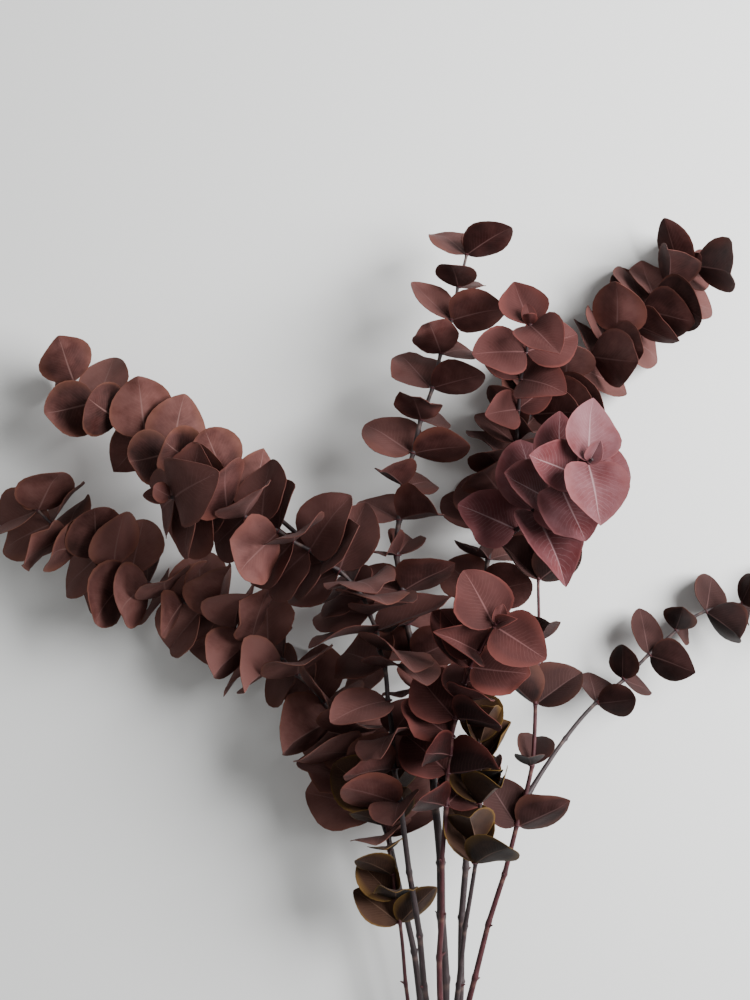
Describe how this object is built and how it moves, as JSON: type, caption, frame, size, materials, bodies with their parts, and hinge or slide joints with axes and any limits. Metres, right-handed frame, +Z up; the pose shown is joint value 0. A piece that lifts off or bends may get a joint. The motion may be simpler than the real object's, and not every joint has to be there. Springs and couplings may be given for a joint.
{
  "type": "eucalyptus branch",
  "caption": "Cut branch of round-leafed eucalyptus, dyed burgundy brown, with slender side branches of paired clasping leaves fanning from one woody stem; lies flat.",
  "frame": {"origin": "centre of the bounding box's base, on the surface that the branch lies on", "axes": "+Y from the cut end towards the leafy tips, +X to the right as seen from above with the tips up, +Z up from the surface"},
  "size_m": [0.635, 0.807, 0.1952],
  "materials": {
    "bark": "matte purple brown bark with a grey bloom",
    "red_bark": "matte wine red bark",
    "leaf_burgundy": "matt waxy leaf, burgundy brown",
    "leaf_dusty_brown": "matt waxy leaf, dusty brown with a pale bloom",
    "leaf_deep_brown": "matt waxy leaf, deep brown",
    "leaf_red": "matt waxy leaf, dark red",
    "leaf_pink": "matt waxy leaf, dusty pink",
    "leaf_olive": "matt waxy leaf, olive brown with a yellow rim"
  },
  "bodies": {
    "root": {"centre_branch_leaf_pair_1": "leaf_red", "centre_branch_leaf_pair_2": "leaf_red", "centre_branch_leaf_pair_3": "leaf_red", "centre_branch_leaf_pair_4": "leaf_red", "centre_branch_stem": "red_bark", "far_left_twig_leaf_pair_1": "leaf_dusty_brown", "far_left_twig_leaf_pair_2": "leaf_dusty_brown", "far_left_twig_leaf_pair_3": "leaf_dusty_brown", "far_left_twig_stem": "bark", "leader_leaf_pair_1": "leaf_burgundy", "leader_leaf_pair_2": "leaf_burgundy", "leader_leaf_pair_3": "leaf_burgundy", "leader_leaf_pair_4": "leaf_burgundy", "leader_leaf_pair_5": "leaf_burgundy", "leader_leaf_pair_6": "leaf_burgundy", "leader_stem": "bark", "left_branch_leaf_pair_1": "leaf_dusty_brown", "left_branch_leaf_pair_2": "leaf_dusty_brown", "left_branch_leaf_pair_3": "leaf_dusty_brown", "left_branch_leaf_pair_4": "leaf_dusty_brown", "left_branch_leaf_pair_5": "leaf_dusty_brown", "left_branch_leaf_pair_6": "leaf_dusty_brown", "left_branch_leaf_pair_7": "leaf_dusty_brown", "left_branch_stem": "bark", "lower_centre_branch_leaf_pair_1": "leaf_olive", "lower_centre_branch_leaf_pair_2": "leaf_olive", "lower_centre_branch_leaf_pair_3": "leaf_olive", "lower_centre_branch_stem": "bark", "lower_left_twig_leaf_pair_1": "leaf_olive", "lower_left_twig_leaf_pair_2": "leaf_olive", "lower_left_twig_stem": "red_bark", "raised_twig_leaf_pair_1": "leaf_pink", "raised_twig_leaf_pair_2": "leaf_pink", "raised_twig_leaf_pair_3": "leaf_pink", "raised_twig_stem": "bark", "right_branch_leaf_pair_1": "leaf_burgundy", "right_branch_leaf_pair_2": "leaf_burgundy", "right_branch_leaf_pair_3": "leaf_burgundy", "right_branch_leaf_pair_4": "leaf_burgundy", "right_branch_leaf_pair_5": "leaf_burgundy", "right_branch_leaf_pair_6": "leaf_burgundy", "right_branch_stem": "bark", "right_twig_leaf_pair_1": "leaf_deep_brown", "right_twig_leaf_pair_2": "leaf_deep_brown", "right_twig_leaf_pair_3": "leaf_deep_brown", "right_twig_leaf_pair_4": "leaf_deep_brown", "right_twig_stem": "bark", "thin_branch_leaf_pair_1": "leaf_deep_brown", "thin_branch_leaf_pair_2": "leaf_deep_brown", "thin_branch_leaf_pair_3": "leaf_deep_brown", "thin_branch_stem": "red_bark", "upper_left_branch_leaf_pair_1": "leaf_burgundy", "upper_left_branch_leaf_pair_2": "leaf_burgundy", "upper_left_branch_leaf_pair_3": "leaf_burgundy", "upper_left_branch_leaf_pair_4": "leaf_burgundy", "upper_left_branch_leaf_pair_5": "leaf_burgundy", "upper_left_branch_stem": "bark", "upper_twig_leaf_pair_1": "leaf_red", "upper_twig_leaf_pair_2": "leaf_red", "upper_twig_stem": "bark"}
  },
  "joints": []
}
